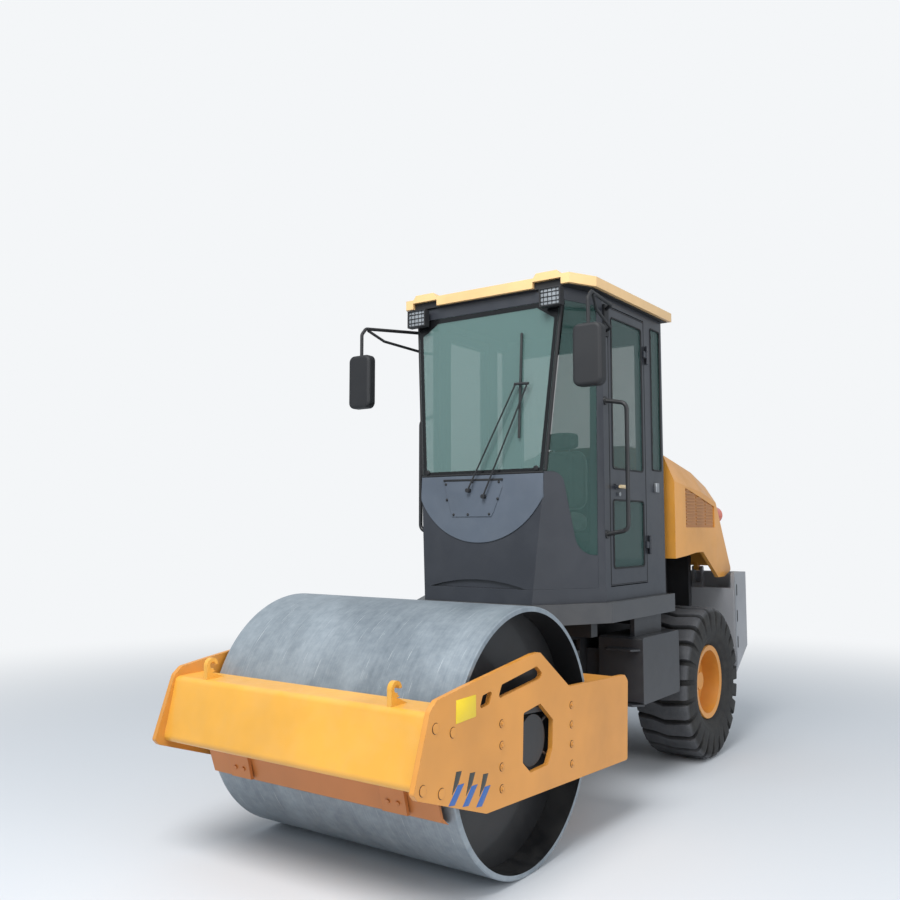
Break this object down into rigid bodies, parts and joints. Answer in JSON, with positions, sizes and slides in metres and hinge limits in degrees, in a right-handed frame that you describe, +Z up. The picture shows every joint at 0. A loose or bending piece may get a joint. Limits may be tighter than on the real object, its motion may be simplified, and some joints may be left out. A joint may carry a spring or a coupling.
{
  "type": "road roller",
  "caption": "Articulated single-drum road roller: smooth steel drum in a hinged front frame, glazed cab, two driven lugged tyres behind and a louvred rear hood.",
  "frame": {"origin": "on the ground, at the middle of the machine's length and width", "axes": "+X is forward, from the rear bumper to the drum; +Y is the machine's left; +Z is up"},
  "size_m": [4.4949, 1.806, 3.132],
  "materials": {
    "beam_paint": "satin enamel",
    "black_plastic": "grained black",
    "cab_paint": "charcoal satin",
    "cast": "painted casting",
    "cushion": "woven cloth",
    "dark_metal": "satin black",
    "deck_paint": "satin grey",
    "drum_steel": "rolled steel, polished by use",
    "glass": "tinted safety glass",
    "head_paint": "satin enamel",
    "lamp": "clear lens in a black case",
    "light_grey": "light grey satin",
    "liner": "grained dark grey",
    "louvre_paint": "satin enamel, in shade",
    "orange_paint": "gloss enamel, dusty",
    "red_lens": "orange-red lens",
    "rim_paint": "satin enamel",
    "rod_chrome": "ground and plated",
    "roof_paint": "faded gloss shell",
    "scraper_paint": "worn satin enamel",
    "shield_paint": "blue-grey satin",
    "tyre": "dusty rubber"
  },
  "bodies": {
    "rear_frame": {"chassis": "dark_metal", "deck": "deck_paint", "cab_frame": "cab_paint", "front_panel": "cab_paint", "shield_panel": "shield_paint", "rear_wall": "cab_paint", "roof_liner": "liner", "roof_cap": "roof_paint", "windscreen": "glass", "cab_glass": "glass", "seat_base": "black_plastic", "seat_cushions": "cushion", "steering_console": "black_plastic", "work_lamps": "lamp", "mirrors": "black_plastic", "grab_handles": "cab_paint", "wiper": "dark_metal", "side_tanks": "dark_metal", "rear_axle": "cast", "engine_block": "cast", "radiator": "dark_metal", "rear_bumper": "light_grey"},
    "hood": {"hood_shell": "orange_paint", "hood_louvres": "louvre_paint", "tail_lamps": "red_lens"},
    "centre_hitch": {"hitch_block": "cast"},
    "drum_frame": {"side_plate_left": "orange_paint", "side_plate_right": "orange_paint", "front_beam": "orange_paint", "rear_beam": "beam_paint", "scrapers": "scraper_paint", "drum_supports": "dark_metal"},
    "drum": {"drum_shell": "drum_steel", "drum_heads": "head_paint"},
    "wheel_left": {"tyre_left": "tyre", "rim_left": "rim_paint"},
    "wheel_right": {"tyre_right": "tyre", "rim_right": "rim_paint"},
    "door_panel_left": {"door_left": "cab_paint", "door_glass_left": "glass"},
    "door_panel_right": {"door_right": "cab_paint", "door_glass_right": "glass"},
    "steer_barrel_left": {"cylinder_barrel_left": "dark_metal"},
    "steer_barrel_right": {"cylinder_barrel_right": "dark_metal"},
    "steer_rod_left": {"cylinder_rod_left": "rod_chrome"},
    "steer_rod_right": {"cylinder_rod_right": "rod_chrome"}
  },
  "joints": [
    {"name": "steer", "type": "hinge", "parent": "rear_frame", "child": "centre_hitch", "pos_m": [0.0525, 0, 0.64], "axis": [0, 0, 1], "range_deg": [-33, 33]},
    {"name": "oscillation", "type": "hinge", "parent": "centre_hitch", "child": "drum_frame", "pos_m": [0.0525, 0, 0.64], "axis": [1, 0, 0], "range_deg": [-10, 10]},
    {"name": "drum_spin", "type": "hinge", "parent": "drum_frame", "child": "drum", "pos_m": [1.3025, 0, 0.625], "axis": [0, 1, 0], "continuous": true},
    {"name": "wheel_left_spin", "type": "hinge", "parent": "rear_frame", "child": "wheel_left", "pos_m": [-1.3675, 0.533, 0.529], "axis": [0, 1, 0], "continuous": true},
    {"name": "wheel_right_spin", "type": "hinge", "parent": "rear_frame", "child": "wheel_right", "pos_m": [-1.3675, -0.533, 0.529], "axis": [0, 1, 0], "continuous": true},
    {"name": "door_left_hinge", "type": "hinge", "parent": "rear_frame", "child": "door_panel_left", "pos_m": [-0.4665, 0.646, 2.142], "axis": [0, 0, 1], "range_deg": [0, 150]},
    {"name": "door_right_hinge", "type": "hinge", "parent": "rear_frame", "child": "door_panel_right", "pos_m": [-0.4665, -0.646, 2.142], "axis": [0, 0, -1], "range_deg": [0, 150]},
    {"name": "hood_hinge", "type": "hinge", "parent": "rear_frame", "child": "hood", "pos_m": [-2.1575, 0, 1.302], "axis": [0, -1, 0], "range_deg": [0, 55]},
    {"name": "steer_barrel_left_swing", "type": "hinge", "parent": "rear_frame", "child": "steer_barrel_left", "pos_m": [-0.4675, 0.205, 0.64], "axis": [0, 0, 1], "range_deg": [-4, 4]},
    {"name": "steer_barrel_right_swing", "type": "hinge", "parent": "rear_frame", "child": "steer_barrel_right", "pos_m": [-0.4675, -0.205, 0.64], "axis": [0, 0, 1], "range_deg": [-4, 4]},
    {"name": "steer_rod_left_stroke", "type": "slide", "parent": "steer_barrel_left", "child": "steer_rod_left", "axis": [1, -0.0086, 0], "range_m": [-0.12, 0.12]},
    {"name": "steer_rod_right_stroke", "type": "slide", "parent": "steer_barrel_right", "child": "steer_rod_right", "axis": [1, 0.0086, 0], "range_m": [-0.12, 0.12]}
  ],
  "couplings": [
    {"joint": "steer_barrel_left_swing", "follows": "steer", "ratio": 0.0881},
    {"joint": "steer_barrel_right_swing", "follows": "steer", "ratio": 0.0881},
    {"joint": "steer_rod_left_stroke", "follows": "steer", "m_per_rad": -0.1954},
    {"joint": "steer_rod_right_stroke", "follows": "steer", "m_per_rad": 0.1954}
  ]
}
